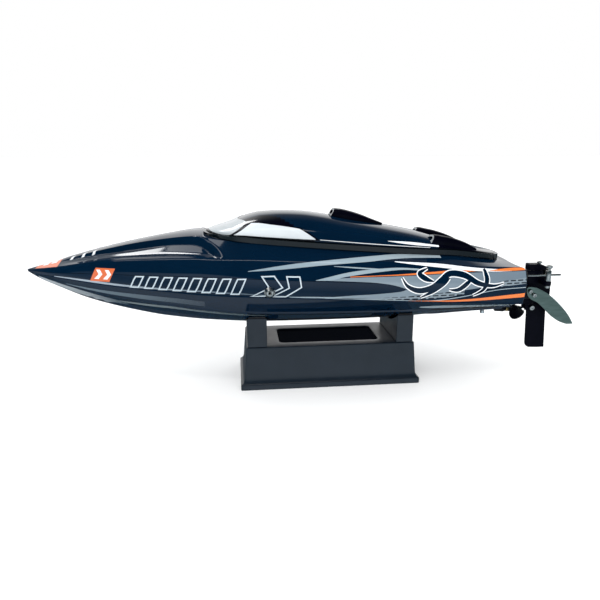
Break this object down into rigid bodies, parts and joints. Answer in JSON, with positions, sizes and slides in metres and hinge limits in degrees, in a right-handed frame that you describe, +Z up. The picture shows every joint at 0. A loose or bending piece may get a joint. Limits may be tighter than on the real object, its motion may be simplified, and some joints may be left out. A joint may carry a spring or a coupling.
{
  "type": "rc boat",
  "caption": "Deep-vee radio-controlled racing boat with lift-off hatch, steering rudder, driven propeller and turn fin, resting on a moulded display stand.",
  "frame": {"origin": "centre of the overall box on the table under the stand", "axes": "+X aft from the bow toward the stern, +Y starboard, +Z up"},
  "size_m": [0.4789, 0.1177, 0.1546],
  "materials": {
    "navy_gloss": "moulded hull, dark navy gloss with printed streaks",
    "black_gloss": "gloss black",
    "window_film": "silver window film",
    "stand_plastic": "satin charcoal moulded plastic",
    "foam": "closed-cell foam",
    "black_plastic": "black glass-filled nylon",
    "steel": "stainless steel",
    "aluminium": "machined aluminium",
    "brass": "brass",
    "rubber": "black rubber",
    "silicone": "silicone rubber",
    "battery_wrap": "shrink wrap",
    "red_sleeve": "silicone wire sleeve",
    "webbing": "hook-and-loop webbing"
  },
  "bodies": {
    "stand": {"stand_base": "stand_plastic", "cradle_front": "stand_plastic", "cradle_rear": "stand_plastic", "cradle_pad_front_port": "foam", "cradle_pad_front_starboard": "foam", "cradle_pad_rear_port": "foam", "cradle_pad_rear_starboard": "foam"},
    "boat": {"hull_shell": "navy_gloss", "deck_shell": "navy_gloss", "prop_strut": "black_plastic", "stuffing_tube": "brass", "motor_can": "aluminium", "cooling_jacket": "aluminium", "motor_mount": "aluminium", "equipment_tray": "black_plastic", "battery": "battery_wrap", "battery_strap": "webbing", "speed_controller": "black_plastic", "receiver_box": "black_plastic", "receiver_lid": "silicone", "servo": "black_plastic", "servo_mount": "black_plastic", "water_pickup": "aluminium", "water_hose_supply": "silicone", "water_hose_return": "silicone", "water_outlet": "aluminium", "battery_lead": "red_sleeve", "motor_lead": "red_sleeve", "rudder_bracket": "black_plastic", "rudder_pin": "steel", "pushrod_boot": "rubber", "turn_fin_bracket": "black_plastic", "turn_fin": "steel", "turn_fin_screw_upper": "steel", "turn_fin_screw_lower": "steel", "deck_magnet_front": "steel", "deck_magnet_rear": "steel"},
    "hatch": {"canopy_shell": "navy_gloss", "hatch_seal": "black_gloss", "windscreen": "window_film", "side_window_port": "window_film", "side_window_starboard": "window_film", "roof_scoop": "black_gloss", "rear_pod_port": "black_gloss", "rear_pod_starboard": "black_gloss", "hatch_magnet_front": "steel", "hatch_magnet_rear": "steel"},
    "driveline": {"motor_output_shaft": "steel", "shaft_coupler": "aluminium", "prop_shaft": "steel", "drive_dog": "brass", "propeller": "black_plastic", "prop_nut": "steel"},
    "rudder": {"rudder_holder": "black_plastic", "rudder_blade": "black_plastic", "shear_screw": "steel"},
    "linkage": {"pushrod": "steel", "pushrod_clevis": "black_plastic", "linkage_stopper": "steel"},
    "horn": {"servo_horn": "black_plastic"}
  },
  "joints": [
    {"name": "boat_lift", "type": "slide", "parent": "stand", "child": "boat", "axis": [0, 0, 1], "range_m": [0, 0.12]},
    {"name": "hatch_lift", "type": "slide", "parent": "boat", "child": "hatch", "axis": [0, 0, 1], "range_m": [0, 0.09]},
    {"name": "shaft_spin", "type": "hinge", "parent": "boat", "child": "driveline", "pos_m": [0.1985, 0, 0.0576], "axis": [0.9962, 0, -0.0872], "continuous": true},
    {"name": "rudder_turn", "type": "hinge", "parent": "boat", "child": "rudder", "pos_m": [0.2085, -0.022, 0.09], "axis": [0, 0, 1], "range_deg": [-25, 25]},
    {"name": "linkage_swing", "type": "hinge", "parent": "rudder", "child": "linkage", "pos_m": [0.2105, -0.035, 0.0974], "axis": [0, 0, 1], "range_deg": [-25, 25]},
    {"name": "horn_turn", "type": "hinge", "parent": "boat", "child": "horn", "pos_m": [0.1125, -0.022, 0.0958], "axis": [0, 0, 1], "range_deg": [-25, 25]}
  ],
  "couplings": [
    {"joint": "linkage_swing", "follows": "rudder_turn", "ratio": -1},
    {"joint": "horn_turn", "follows": "rudder_turn", "ratio": 1}
  ]
}
